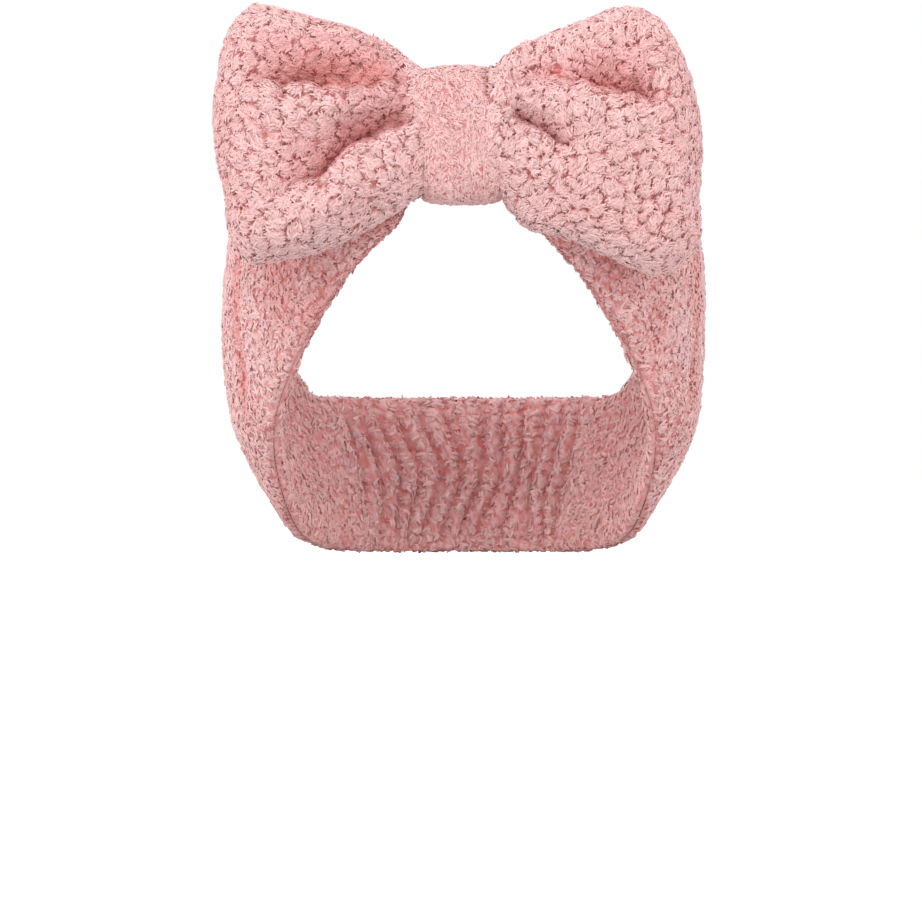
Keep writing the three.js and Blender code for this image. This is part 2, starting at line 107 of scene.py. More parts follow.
def add_floor():
    """A wide flat floor. The camera sees it near white; other rays meet a pale matt surface."""
    half = FLOOR_SIZE / 2
    z = cad_box[0].z - FLOOR_DROP
    mesh = bpy.data.meshes.new("floor")
    corners = [(-half, -half, z), (half, -half, z), (half, half, z), (-half, half, z)]
    mesh.from_pydata(corners, [], [(0, 1, 2, 3)])
    material, nodes, links = new_material("pale_floor")
    surface = set_inputs(nodes["Principled BSDF"], Roughness=0.9, Specular_IOR_Level=0.0,
                         Base_Color=(FLOOR_GREY, FLOOR_GREY, FLOOR_GREY, 1), Emission_Color=WHITE)
    path = nodes.new("ShaderNodeLightPath")
    glow = nodes.new("ShaderNodeMath")
    glow.operation = "MULTIPLY"
    glow.inputs[1].default_value = FLOOR_GLOW
    links.new(path.outputs["Is Camera Ray"], glow.inputs[0])
    links.new(glow.outputs["Value"], surface.inputs["Emission Strength"])
    mesh.materials.append(material)
    floor = bpy.data.objects.new("floor", mesh)
    scene.collection.objects.link(floor)


def add_soft_light(name, place, size, power):
    """A square area light at a place, turned to face the object."""
    data = bpy.data.lights.new(name, "AREA")
    data.size = size
    data.energy = power
    light = bpy.data.objects.new(name, data)
    light.location = place
    middle = (cad_box[0] + cad_box[1]) / 2
    light.rotation_euler = (middle - light.location).to_track_quat("-Z", "Y").to_euler()
    scene.collection.objects.link(light)


def add_surround(strength):
    """A white world: bright to the camera, softer as a light."""
    world = bpy.data.worlds.new("surround")
    world.use_nodes = True
    nodes, links = world.node_tree.nodes, world.node_tree.links
    seen = set_inputs(nodes["Background"], Color=WHITE, Strength=1.0)
    lighting = set_inputs(nodes.new("ShaderNodeBackground"), Color=WHITE, Strength=strength)
    path = nodes.new("ShaderNodeLightPath")
    mix = nodes.new("ShaderNodeMixShader")
    links.new(path.outputs["Is Camera Ray"], mix.inputs["Fac"])
    links.new(lighting.outputs["Background"], mix.inputs[1])
    links.new(seen.outputs["Background"], mix.inputs[2])
    links.new(mix.outputs["Shader"], nodes["World Output"].inputs["Surface"])
    scene.world = world


add_camera()
add_floor()
add_surround(strength=0.95)
add_soft_light("key", (-0.9, -2.6, 1.9), size=1.6, power=35)
add_soft_light("fill", (1.8, -2.4, 0.6), size=2.0, power=14)
add_soft_light("left", (-2.4, -0.9, 0.3), size=1.8, power=20)
add_soft_light("right", (2.4, -0.9, 0.3), size=1.8, power=8)
add_soft_light("rim", (0.2, 2.0, 1.8), size=1.6, power=14)


# ---------------------------------------------------------------------------
# Band, outer face: one strip of coral fleece, here in a left and a right half
# that meet under the knot. The knot gathers it to a narrow neck, and it widens
# over the ears and falls to the nape, where the elastic casing takes over.
# ---------------------------------------------------------------------------

MM = 0.001
HEAD_HALF_WIDTH, HEAD_HALF_LENGTH = 77.0, 84.0
LOWER_ROUNDING = 165.0
JAW_NARROWING, JAW_START, JAW_END = 0.085, 40.0, 88.0
CROWN_HEIGHT, CROWN_LEAN = 90.0, 0.10
FACE_THICKNESS, LINING_THICKNESS, LAYER_GAP = 9.0, 8.0, 0.5
NAPE_HEIGHT, FOREHEAD_RISE, RISE_POWER = -96.0, 135.0, 6
NECK_HEIGHT, NECK_END, PINCH_END, NECK_FULL = 63.5, 13.0, 19.0, 30.0
WIDTH_FRONT, WIDTH_SIDE, WIDTH_REAR = 40.0, 116.0, 58.0
WIDEST, NARROWING_START, NARROWING_END = 76.0, 92.0, 137.0
PANEL_START, PANEL_END = 0.2, 139.4
EDGE_DEPTH, EDGE_REACH = 1.5, 1.02
SIDES = ((-1, "left"), (1, "right"))
EDGES = ((1, "upper"), (-1, "lower"))
MID_HALF_WIDTH = HEAD_HALF_WIDTH + LINING_THICKNESS + LAYER_GAP / 2
MID_HALF_LENGTH = HEAD_HALF_LENGTH + LINING_THICKNESS + LAYER_GAP / 2


def smooth(value, start, end):
    """A cubic step: 0 up to start, 1 from end, and t*t*(3 - 2*t) between them."""
    t = np.clip((value - start) / (end - start), 0, 1)
    return t * t * (3 - 2 * t)


def bell(value, centre, width):
    """A bell curve: 1 at the centre, and exp(-1) one width away from it."""
    return np.exp(-((value - centre) / width) ** 2)


def noise(a, b, seed):
    """Smooth noise from -1 to 1: random values at whole numbers, blended with cubic steps."""
    size = 256
    table = np.random.default_rng(seed).uniform(-1, 1, (size, size))
    i, j = np.floor(a).astype(int), np.floor(b).astype(int)
    u, v = a - i, b - j
    u, v = u * u * (3 - 2 * u), v * v * (3 - 2 * v)
    i, j, next_i, next_j = i % size, j % size, (i + 1) % size, (j + 1) % size
    low = table[i, j] * (1 - u) + table[next_i, j] * u
    high = table[i, next_j] * (1 - u) + table[next_i, next_j] * u
    return low * (1 - v) + high * v


def unit(vectors):
    """Vectors divided by their lengths."""
    return vectors / np.maximum(np.linalg.norm(vectors, axis=-1, keepdims=True), 1e-9)


def rotate(a, b, angle):
    """Two measures or directions turned: a cos + b sin, and b cos - a sin."""
    return a * np.cos(angle) + b * np.sin(angle), b * np.cos(angle) - a * np.sin(angle)


def ring_share(z):
    """Share of the full ring size at height z: rounded in below zero, leaning in above it."""
    below = np.sqrt(1 - (np.minimum(z, 0) / LOWER_ROUNDING) ** 2)
    above = 1 - CROWN_LEAN * (np.maximum(z, 0) / CROWN_HEIGHT) ** 2
    return below * above


def turn_from_front(angle):
    """How far an angle round the head lies from the front, 0 to 180 degrees to either side."""
    return np.abs((angle + 540) % 360 - 180)


def band_lower(turn):
    """Lower edge: nape height plus the rise times cos(turn / 2) to a power, level at the neck."""
    free = NAPE_HEIGHT + FOREHEAD_RISE * np.cos(np.radians(turn) / 2) ** RISE_POWER
    pinched = NECK_HEIGHT - WIDTH_FRONT / 2
    return pinched + (free - pinched) * smooth(turn, NECK_END, PINCH_END)


def band_width(turn):
    """Width: narrow at the neck, widest over the ears, narrow again at the casing."""
    widening = (WIDTH_SIDE - WIDTH_FRONT) * smooth(turn, NECK_END, WIDEST)
    narrowing = (WIDTH_SIDE - WIDTH_REAR) * smooth(turn, NARROWING_START, NARROWING_END)
    return WIDTH_FRONT + widening - narrowing


def band_surface(angle, height, outwards):
    """A point of the band. The angle runs round the head from the front in degrees, the height
    from -1 to 1 across it, and outwards is the distance from where the two layers meet, along
    the normal of the oval ring at that height. The ring narrows a little beside the jaw."""
    turn = turn_from_front(angle)
    z = band_lower(turn) + band_width(turn) * (height + 1) / 2
    share = ring_share(z)
    half_width = MID_HALF_WIDTH * share * (1 - JAW_NARROWING * smooth(-z, JAW_START, JAW_END))
    half_length = MID_HALF_LENGTH * share
    s, c = np.sin(np.radians(angle)), np.cos(np.radians(angle))
    nx, ny = s / half_width, -c / half_length
    size = np.hypot(nx, ny)
    return np.stack([half_width * s + nx / size * outwards,
                     -half_length * c + ny / size * outwards, z], axis=-1)


def layer_depth(full, angle, height):
    """Depth of one plush layer: full in the middle, half as much at the neck, and rounded off
    at both edges by the square root of 1 - |height| cubed."""
    neck = 0.5 + 0.5 * smooth(turn_from_front(angle), NECK_END, NECK_FULL)
    rounding = np.sqrt(np.clip(1 - np.abs(height) ** 3, 0, 1))
    return EDGE_DEPTH + (full * neck - EDGE_DEPTH) * rounding


def grid_normals(points, facing):
    """Unit normals of a grid: the cross product of its two slopes, turned by facing (1 or -1)."""
    return unit(facing * np.cross(np.gradient(points, axis=0), np.gradient(points, axis=1)))


def cloth_lengths(points):
    """Places on the cloth in mm: the mean length walked along the grid, and the length walked
    across it from the middle."""
    along = np.linalg.norm(np.diff(points, axis=0), axis=-1).mean(axis=1)
    along = np.concatenate([[0], np.cumsum(along)])
    across = np.linalg.norm(np.diff(points, axis=1), axis=-1)
    across = np.concatenate([np.zeros((len(points), 1)), np.cumsum(across, axis=1)], axis=1)
    across -= across[:, across.shape[1] // 2][:, None]
    return np.broadcast_to(along[:, None], across.shape), across


def tufts(a, b, seed, pitch=(7.0, 6.2), grain=0.0, spread=0.5, turned=0.0):
    """Clumps of pile. Tuft roots stand on a staggered grid with jitter, which may be turned on
    the cloth, and each place belongs to its nearest root. The pile is full in a tuft, shallow
    where two tufts meet and open in a pit where three meet. Its strands lie at an angle of the
    tuft's own. Returns the fullness and the strand angle."""
    rng = np.random.default_rng(seed)
    size = 128
    jitter_a, jitter_b = rng.uniform(-0.29, 0.29, (2, size, size))
    angle_of = rng.normal(grain, spread, (size, size))
    open_of = rng.uniform(0.2, 1.0, (size, size))
    a, b = rotate(a, b, turned)
    wa = a + 0.9 * noise(a / 1.7, b / 1.7, seed + 1) + 1.8 * noise(a / 10, b / 10, seed + 2)
    wb = b + 0.9 * noise(a / 1.7, b / 1.7, seed + 3) + 1.8 * noise(a / 10, b / 10, seed + 4)
    row = np.floor(wb / pitch[1]).astype(int)
    found = []
    for step_b in (-1, 0, 1):
        r = row + step_b
        stagger = 0.5 * (r % 2)
        column = np.floor(wa / pitch[0] - stagger).astype(int)
        for step_a in (-1, 0, 1):
            c = column + step_a
            root_a = (c + 0.5 + stagger + jitter_a[c % size, r % size]) * pitch[0]
            root_b = (r + 0.5 + jitter_b[c % size, r % size]) * pitch[1]
            found.append([np.hypot(wa - root_a, wb - root_b),
                          angle_of[c % size, r % size], open_of[c % size, r % size]])
    found = np.array(found)
    order = np.argsort(found[:, 0], axis=0)
    nearest = np.take_along_axis(found[:, 0], order[:3], axis=0)
    angle, opened = (np.take_along_axis(found[:, k], order[:1], axis=0)[0] for k in (1, 2))
    border, corner = nearest[1] - nearest[0], nearest[2] - nearest[0]
    fullness = 1 - 0.36 * bell(border, 0, 1.4) - 0.64 * opened * bell(corner, 0, 1.6)
    return np.clip(fullness, 0, 1), angle + turned


def raise_pile(points, facing, seed, depth=2.9, painted_shade_and_tone=0.0, **how):
    """Moves a grid of cloth out along its normals by its pile: tufts, fine strands and a slow
    unevenness. The painted shade and tone, with random tone added, darkens the pile's colour
    where it is positive and paints a highlight where it is negative. Returns the new points, the
    pile mask from 0 in the pits to 1 on the tips, which sets the painted shade of the colour,
    and what the locks need to grow from it."""
    a, b = cloth_lengths(points)
    fullness, angle = tufts(a, b, seed, **how)
    down_strand, over_strand = rotate(a, b, angle)
    strands = noise(down_strand / 2.4, over_strand / 0.75, seed + 5)
    uneven = noise(a / 14, b / 14, seed + 6)
    height = depth * (fullness - 0.8) + 0.4 * strands * fullness + 0.35 * uneven
    normals = grid_normals(points, facing)
    moved = points + normals * height[..., None]
    # Painted shade: the mask sets the colour, darkest in the pits between tufts and lower still where
    # painted shade is asked for; the noise adds random tone.
    painted_shade_and_tone = np.clip(painted_shade_and_tone + 0.15 * noise(a / 7, b / 7, seed + 7), -0.5, 1)
    mask = np.clip(fullness * (0.82 + 0.18 * strands) - 0.25 * painted_shade_and_tone, 0, 1)
    along = unit(np.gradient(points, axis=0))
    lay, _ = rotate(along, facing * np.cross(normals, along), angle[..., None])
    return moved, mask, {"fullness": fullness, "normals": normals, "lay": lay, "painted_shade_and_tone": painted_shade_and_tone}


def new_mesh(name, points, loops, sizes, material):
    """A mesh in metres from points in mm, the corner numbers of its faces one after another,
    and the number of corners of each face. It is turned if its faces point in."""
    points = np.ascontiguousarray(points.reshape(-1, 3))
    starts = np.concatenate([[0], np.cumsum(sizes)[:-1]])
    first, second, third = (points[loops[starts + k]] for k in (0, 1, 2))
    quads = sizes == 4
    fourth = points[loops[np.minimum(starts + 3, len(loops) - 1)]]
    volume = np.einsum("ij,ij->i", first, np.cross(second, third)).sum()
    volume += np.einsum("ij,ij->i", first, np.cross(third, fourth))[quads].sum()
    mesh = bpy.data.meshes.new(name)
    mesh.vertices.add(len(points))
    mesh.vertices.foreach_set("co", (points * MM).astype(np.float32).ravel())
    mesh.loops.add(len(loops))
    mesh.loops.foreach_set("vertex_index", loops.astype(np.int32))
    mesh.polygons.add(len(sizes))
    mesh.polygons.foreach_set("loop_start", starts.astype(np.int32))
    mesh.polygons.foreach_set("use_smooth", np.ones(len(sizes), bool))
    mesh.update(calc_edges=True)
    if volume < 0:
        mesh.flip_normals()
    mesh.materials.append(material)
    piece = bpy.data.objects.new(name, mesh)
    scene.collection.objects.link(piece)
    return piece


def grid_map(u, v):
    """Places on the map for a grid, row by row, from those of its rows and its columns."""
    return np.stack(np.meshgrid(u, v, indexing="ij"), axis=-1).reshape(-1, 2)


def set_map(piece, values):
    """Gives every face corner its vertex's place on the piece's own map."""
    corners = np.empty(len(piece.data.loops), np.int32)
    piece.data.loops.foreach_get("vertex_index", corners)
    layer = piece.data.uv_layers.new(name="OFBake")
    layer.data.foreach_set("uv", values[corners].astype(np.float32).ravel())


def set_mask(piece, values):
    """Gives every vertex its height in the pile, from 0 in a pit to 1 on a tip, which sets its
    painted shade.
    """
    layer = piece.data.attributes.new("pile", "FLOAT", "POINT")
    layer.data.foreach_set("value", values.astype(np.float32))


def cloth_piece(name, outer, inner, mask, material):
    """A closed piece of plush: a fine outer grid and a plain inner grid with as many rows. Four
    sided faces fill both grids and join their long edges, and one face closes each end."""
    rows, fine = outer.shape[:2]
    plain = inner.shape[1]
    front = np.arange(rows * fine).reshape(rows, fine)
    back = rows * fine + np.arange(rows * plain).reshape(rows, plain)

    def quads(grid):
        """The four corner numbers round every cell of a grid."""
        around = [grid[:-1, :-1], grid[1:, :-1], grid[1:, 1:], grid[:-1, 1:]]
        return np.stack(around, axis=-1).reshape(-1, 4)

    edges = [quads(np.stack([back[:, 0], front[:, 0]], axis=1)),
             quads(np.stack([front[:, -1], back[:, -1]], axis=1))]
    faces = np.concatenate([quads(front), quads(back)[:, ::-1], *edges])
    start_cap = np.concatenate([front[0], back[0, ::-1]])
    end_cap = np.concatenate([back[-1], front[-1, ::-1]])
    loops = np.concatenate([faces.ravel(), start_cap, end_cap])
    sizes = np.concatenate([np.full(len(faces), 4), [fine + plain, fine + plain]])
    points = np.concatenate([outer.reshape(-1, 3), inner.reshape(-1, 3)])
    piece = new_mesh(name, points, loops, sizes, material)
    u = np.linspace(0, 1, rows)
    set_map(piece, np.concatenate([grid_map(u, np.linspace(0, 0.9, fine)),
                                   grid_map(u, np.linspace(0.99, 0.92, plain))]))
    set_mask(piece, np.concatenate([mask.ravel(), np.full(rows * plain, 0.6)]))
    return piece


# The ten corners of a lock are the left, top and right of three rings, then its tip, each with
# # its painted light: darker on the sides and at the root as painted shade, paler on the ridge and
# # the tip as a painted highlight. Its left and right edges are sharp, so that its top shades as
# # one round. An edge is written as ten times its first corner plus its second.
LOCK_CORNERS = 10
LOCK_SHARP_EDGES = (3, 36, 69, 25, 58, 89)
LOCK_PAINTED_LIGHT = (0.15, 0.4, 0.15, 0.55, 0.95, 0.55, 0.65, 1.0, 0.65, 0.85)


def lock_piece(name, moved, grown, count, seed, material, length=2.5, width=0.78, rise=0.36,
               scatter=0.6):
    """Locks of pile on a plush piece. Each is a short three-sided rope, rounded by its shading:
    it leaves the cloth at a slant, arches over along the lay of its tuft and curls by the square
    of the distance from its middle, and its tip comes down again. Roots are spread by area, and
    none stands in a pit."""
    rng = np.random.default_rng(seed)
    area = np.linalg.norm(np.cross(np.gradient(moved, axis=0), np.gradient(moved, axis=1)), axis=-1)
    weight = (area * np.clip(grown["fullness"] - 0.6, 0, 0.2)).ravel()
    at = rng.choice(len(weight), count, p=weight / weight.sum())
    normal = grown["normals"].reshape(-1, 3)[at]
    lay = grown["lay"].reshape(-1, 3)[at]
    side = np.cross(normal, lay)
    turn = rng.normal(0, scatter, (count, 1))
    lay, side = rotate(lay, side, turn)
    size = np.minimum(rng.lognormal(0, 0.36, (count, 1)), 1.9)
    reach = length * size
    arch = rise * rng.uniform(0.5, 1.3, (count, 1))
    curl = np.clip(rng.normal(0, 1.6, (count, 1)), -2.6, 2.6)
    half = 0.5 * width * np.sqrt(size) * rng.uniform(0.7, 1.25, (count, 1))
    stray = rng.uniform(-0.35, 0.35, (2, count, 1))
    place = moved.reshape(-1, 3)[at] + (stray[0] - 0.45 * reach) * lay + stray[1] * side

    def path(t, height):
        """A point of each lock, at a share t of its reach and at a height in its arch."""
        bend = curl * reach * ((t - 0.5) ** 2 - 0.1)
        return place + reach * t * lay + bend * side + arch * height * normal

    corners = []
    for t, height, share in ((0, -1.4, 0.8), (0.32, 0.5, 1), (0.88, 0.5, 0.78)):
        middle = path(t, height)
        across, up = share * half * side, 0.7 * share * half * normal
        corners += [middle - across, middle + up, middle + across]
    corners.append(path(1, 0.1))
    corners = np.stack(corners, axis=1)
    ring = [0, 1, 4, 3, 1, 2, 5, 4, 2, 0, 3, 5]
    shape = np.array(ring + [k + 3 for k in ring] + [2, 1, 0, 6, 7, 9, 7, 8, 9, 8, 6, 9])
    loops = (shape[None] + LOCK_CORNERS * np.arange(count)[:, None]).ravel()
    piece = new_mesh(name, corners, loops, np.tile([4] * 6 + [3] * 4, count), material)
    ends = np.empty(2 * len(piece.data.edges), np.int32)
    piece.data.edges.foreach_get("vertices", ends)
    ends = np.sort(ends.reshape(-1, 2) % LOCK_CORNERS, axis=1)
    sharp = piece.data.attributes.new("sharp_edge", "BOOLEAN", "EDGE")
    sharp.data.foreach_set("value", np.isin(10 * ends[:, 0] + ends[:, 1], LOCK_SHARP_EDGES))
    shade = np.repeat(rng.uniform(0.02, 0.98, count), LOCK_CORNERS)
    # Painted shade and highlight: each lock takes the painted shade and tone of the cloth at its
    # root, on top of its own painted light.
    painted_shade_and_tone = np.repeat(grown["painted_shade_and_tone"].ravel()[at], LOCK_CORNERS)
    height = 0.02 + 0.96 * np.tile(LOCK_PAINTED_LIGHT, count) - 0.5 * painted_shade_and_tone
    set_map(piece, np.stack([shade, np.clip(height, 0.01, 0.99)], axis=-1))
    return piece


def plush_colour_group():
    """Colour of dyed coral fleece with painted shade: deep and warm at the root, where the pile
    lies in shade, and pale at the tip as a painted highlight. A shade input makes one lock or
    patch lighter or darker than the next."""
    group = bpy.data.node_groups.new("plush_colour", "ShaderNodeTree")
    group.interface.new_socket("Height", in_out="INPUT", socket_type="NodeSocketFloat")
    group.interface.new_socket("Shade", in_out="INPUT", socket_type="NodeSocketFloat")
    group.interface.new_socket("Color", in_out="OUTPUT", socket_type="NodeSocketColor")
    nodes, links = group.nodes, group.links
    inputs, outputs = nodes.new("NodeGroupInput"), nodes.new("NodeGroupOutput")
    ramp = nodes.new("ShaderNodeValToRGB")
    # Painted shade and highlight: deep, saturated coral low in the pile, pale pink on the tips.
    ramp.color_ramp.elements[0].color = (0.80, 0.25, 0.23, 1)
    ramp.color_ramp.elements[1].color = (0.82, 0.555, 0.55, 1)
    for place, colour in ((0.35, (0.74, 0.31, 0.29, 1)), (0.7, (0.76, 0.425, 0.415, 1))):
        ramp.color_ramp.elements.new(place).color = colour
    links.new(inputs.outputs["Height"], ramp.inputs["Fac"])
    shade = nodes.new("ShaderNodeHueSaturation")
    brightness = set_inputs(nodes.new("ShaderNodeMapRange"), To_Min=0.82, To_Max=1.1)
    links.new(inputs.outputs["Shade"], brightness.inputs["Value"])
    links.new(brightness.outputs["Result"], shade.inputs["Value"])
    links.new(ramp.outputs["Color"], shade.inputs["Color"])
    links.new(shade.outputs["Color"], outputs.inputs["Color"])
    return group


plush_colour = plush_colour_group()


def plush_surface(material):
    """Sets the constants of coral fleece on a material's shader: matt, with a pale soft sheen."""
    return set_inputs(material.node_tree.nodes["Principled BSDF"],
                      Roughness=0.92, Specular_IOR_Level=0.15, Sheen_Weight=0.3,
                      Sheen_Roughness=0.4, Sheen_Tint=(1.0, 0.80, 0.78, 1))


def add_bump(material, source, strength, distance):
    """Fine relief in a material's shading, by a node's Fac output."""
    nodes, links = material.node_tree.nodes, material.node_tree.links
    bump = set_inputs(nodes.new("ShaderNodeBump"), Strength=strength, Distance=distance)
    links.new(source.outputs["Fac"], bump.inputs["Height"])
    links.new(bump.outputs["Normal"], nodes["Principled BSDF"].inputs["Normal"])


def cloth_material(name):
    """Plush cloth: the pile mask sets the height and with it the painted shade, broad noise the
    shade of random tone, fine noise the bump.
    """
    material, nodes, links = new_material(name)
    surface = plush_surface(material)
    mask = nodes.new("ShaderNodeAttribute")
    mask.attribute_name = "pile"
    place = nodes.new("ShaderNodeTexCoord")
    patches = set_inputs(nodes.new("ShaderNodeTexNoise"), Scale=90, Detail=3)
    links.new(place.outputs["Object"], patches.inputs["Vector"])
    colour = nodes.new("ShaderNodeGroup")
    colour.node_tree = plush_colour
    links.new(mask.outputs["Fac"], colour.inputs["Height"])
    links.new(patches.outputs["Fac"], colour.inputs["Shade"])
    links.new(colour.outputs["Color"], surface.inputs["Base Color"])
    fibres = set_inputs(nodes.new("ShaderNodeTexNoise"), Scale=2200, Detail=2)
    links.new(place.outputs["Object"], fibres.inputs["Vector"])
    add_bump(material, fibres, strength=0.5, distance=0.0003)
    return material


def lock_material(name):
    """Locks of pile: the map's first number is the lock's own shade, the second its height, which
    paints shade on its sides and root and a highlight on its ridge and tip.
    """
    material, nodes, links = new_material(name)
    surface = plush_surface(material)
    place = nodes.new("ShaderNodeUVMap")
    place.uv_map = "OFBake"
    parts = nodes.new("ShaderNodeSeparateXYZ")
    links.new(place.outputs["UV"], parts.inputs["Vector"])
    height = set_inputs(nodes.new("ShaderNodeMapRange"), To_Min=0.1, To_Max=1.0)
    links.new(parts.outputs["Y"], height.inputs["Value"])
    colour = nodes.new("ShaderNodeGroup")
    colour.node_tree = plush_colour
    links.new(height.outputs["Result"], colour.inputs["Height"])
    links.new(parts.outputs["X"], colour.inputs["Shade"])
    links.new(colour.outputs["Color"], surface.inputs["Base Color"])
    return material


band_cloth = cloth_material("band_plush")
band_locks = lock_material("band_pile")

BAND_TUFTS = {"pitch": (4.6, 4.2), "spread": 1.1}
PILE_INSET = 1.3
CREASE_TURN = 71


def across_cloth(count):
    """Heights from -1 to 1, closer together near the edges: the sine of even steps."""
    return np.sin(np.linspace(-np.pi / 2, np.pi / 2, count))


def band_folds(angle, height, side):
    """Soft relief of the worn band in mm: gathers that run out from the knot, a pressed crease
    down each side, and slow waves."""
    turn = np.abs(angle)
    gathers = 1.6 * np.cos(3.5 * np.pi * height + 0.6 * side) * (1 - smooth(turn, 20, 60))
    reach = smooth(height, -0.9, -0.4) * (1 - smooth(height, 0.5, 0.95))
    crease = reach * (1.6 * bell(turn, 63, 5) - 2.8 * bell(turn, CREASE_TURN, 2.6))
    waves = 1.4 * noise(turn / 17 + 40, height * 1.6 + 9 * side, 71)
    return gathers + crease + waves * smooth(turn, 25, 45)


def make_band_face(name, side):
    """One half of the outer face, its pile and its locks. Its colour holds a painted shadow under
    the bow, painted shade in the crease with a painted highlight on the strip beside it, and
    irregular darker and lighter patches of random tone."""
    angles = side * np.linspace(PANEL_START, PANEL_END, 290)[:, None]
    heights = across_cloth(120)[None, :]
    depth = layer_depth(FACE_THICKNESS - PILE_INSET, angles, heights)
    lift = depth + band_folds(angles, heights, side) * (1 - np.abs(heights) ** 4)
    points = band_surface(angles, heights * EDGE_REACH, LAYER_GAP / 2 + lift)
    turn = np.abs(angles)
    # Painted shadow on the band just under the bow, and painted shade in the side crease with a
    # painted highlight on the ridge before it.
    painted_bow_shadow = 0.4 * smooth(points[..., 2], -25, 15) * (1 - smooth(turn, 50, 74))
    fold = turn + 4 * noise(heights * 2.5, 0 * heights + side, 79)
    broken = 0.6 + 0.5 * noise(turn / 4, heights * 4, 78)
    crease = (0.8 * bell(fold, CREASE_TURN, 3.5) - 0.6 * bell(fold, 62, 6)) * broken
    patches = 0.4 * noise(turn / 6, heights * 3 + side, 77)
    painted_shade_and_tone = painted_bow_shadow + crease * smooth(heights, -0.9, -0.4) + patches - 0.1
    moved, mask, grown = raise_pile(points, side, seed=100 + side, depth=1.5, painted_shade_and_tone=painted_shade_and_tone,
                                    **BAND_TUFTS)
    inner = band_surface(angles, across_cloth(9)[None, :] * EDGE_REACH, LAYER_GAP / 2)
    face = cloth_piece(f"band_face_cloth_{name}", moved, inner, mask, band_cloth)
    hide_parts(f"band_face_{name}")
    locks = lock_piece(f"band_face_pile_{name}", moved, grown, 11500, 110 + side, band_locks,
                       length=2.3, width=0.95, scatter=0.9)
    for piece in (face, locks):
        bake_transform(piece)


for side, name in SIDES:
    make_band_face(name, side)


# ---------------------------------------------------------------------------
# Band, lining: the same fleece worn against the head, its pile pressed flat.
# It is sewn to the face along both long edges and turned.
# ---------------------------------------------------------------------------

lining_cloth = cloth_material("lining_plush")
lining_locks = lock_material("lining_pile")


def make_band_lining(name, side):
    """One half of the lining, its pile and its locks: the face's surface turned inwards, with
    slow waves in place of folds."""
    angles = side * np.linspace(PANEL_START, PANEL_END, 180)[:, None]
    heights = across_cloth(80)[None, :]
    depth = layer_depth(LINING_THICKNESS - PILE_INSET, angles, heights)
    waves = 0.8 * noise(angles / 15 + 90, heights * 2 + 5, 73) * (1 - heights ** 4)
    points = band_surface(angles, heights * EDGE_REACH, -LAYER_GAP / 2 - depth - waves)
    moved, mask, grown = raise_pile(points, -side, seed=200 + side, depth=1.1, **BAND_TUFTS)
    inner = band_surface(angles, across_cloth(9)[None, :] * EDGE_REACH, -LAYER_GAP / 2)
    lining = cloth_piece(f"band_lining_cloth_{name}", moved, inner, mask, lining_cloth)
    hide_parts(f"band_lining_{name}")
    locks = lock_piece(f"band_lining_pile_{name}", moved, grown, 4800, 210 + side, lining_locks,
                       length=2.8, width=1.15, scatter=0.9)
    for piece in (lining, locks):
        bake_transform(piece)


for side, name in SIDES:
    make_band_lining(name, side)


# ---------------------------------------------------------------------------
# Band seams: one line of sewing thread along each long edge, between the face
# and the lining, with the pile brushed over it.
# ---------------------------------------------------------------------------

SEAM_RADIUS = 0.45
THREAD_SIDES = 6


def add_two_colours(material, source, first, second):
    """Base colour of a material: between two colours, by a node's Fac output."""
    nodes, links = material.node_tree.nodes, material.node_tree.links
    colour = nodes.new("ShaderNodeMix")
    colour.data_type = "RGBA"
    colour.inputs["A"].default_value = first
    colour.inputs["B"].default_value = second
    links.new(source.outputs["Fac"], colour.inputs["Factor"])
    links.new(colour.outputs["Result"], nodes["Principled BSDF"].inputs["Base Color"])


def thread_material():
    """Dyed polyester thread: smoother and deeper in colour than the plush. Its twisted plies
    show as slanting stripes of relief, with painted shade in the grooves between them."""
    material, nodes, links = new_material("seam_thread")
    set_inputs(nodes["Principled BSDF"], Roughness=0.6)
    place = nodes.new("ShaderNodeTexCoord")
    plies = set_inputs(nodes.new("ShaderNodeTexWave"), Scale=520, Distortion=1.5)
    plies.bands_direction = "DIAGONAL"
    links.new(place.outputs["Object"], plies.inputs["Vector"])
    add_two_colours(material, plies, (0.60, 0.27, 0.255, 1), (0.78, 0.42, 0.40, 1))
    add_bump(material, plies, strength=0.4, distance=0.0001)
    return material


seam_thread = thread_material()


def thread_piece(name, path, radius, material):
    """A thread along a path: a ring of corners at each point, square to the path, and a flat
    face at both ends."""
    sides = THREAD_SIDES
    along = unit(np.gradient(path, axis=0))
    slanting = np.array([0.31, 0.83, 0.46])
    first = unit(np.cross(along, slanting))
    second = np.cross(along, first)
    turn = (np.arange(sides) * 2 * np.pi / sides)[None, :, None]
    rings = path[:, None] + radius * rotate(first[:, None], second[:, None], turn)[0]
    at = np.arange(len(path) * sides).reshape(len(path), sides)
    beside = np.roll(at, -1, axis=1)
    quads = np.stack([at[:-1], beside[:-1], beside[1:], at[1:]], axis=-1)
    loops = np.concatenate([quads.ravel(), at[0, ::-1], at[-1]])
    sizes = np.concatenate([np.full(quads.size // 4, 4), [sides, sides]])
    piece = new_mesh(name, rings, loops, sizes, material)
    set_map(piece, grid_map(np.linspace(0, 1, len(path)), np.linspace(0, 1, sides)))
    return piece


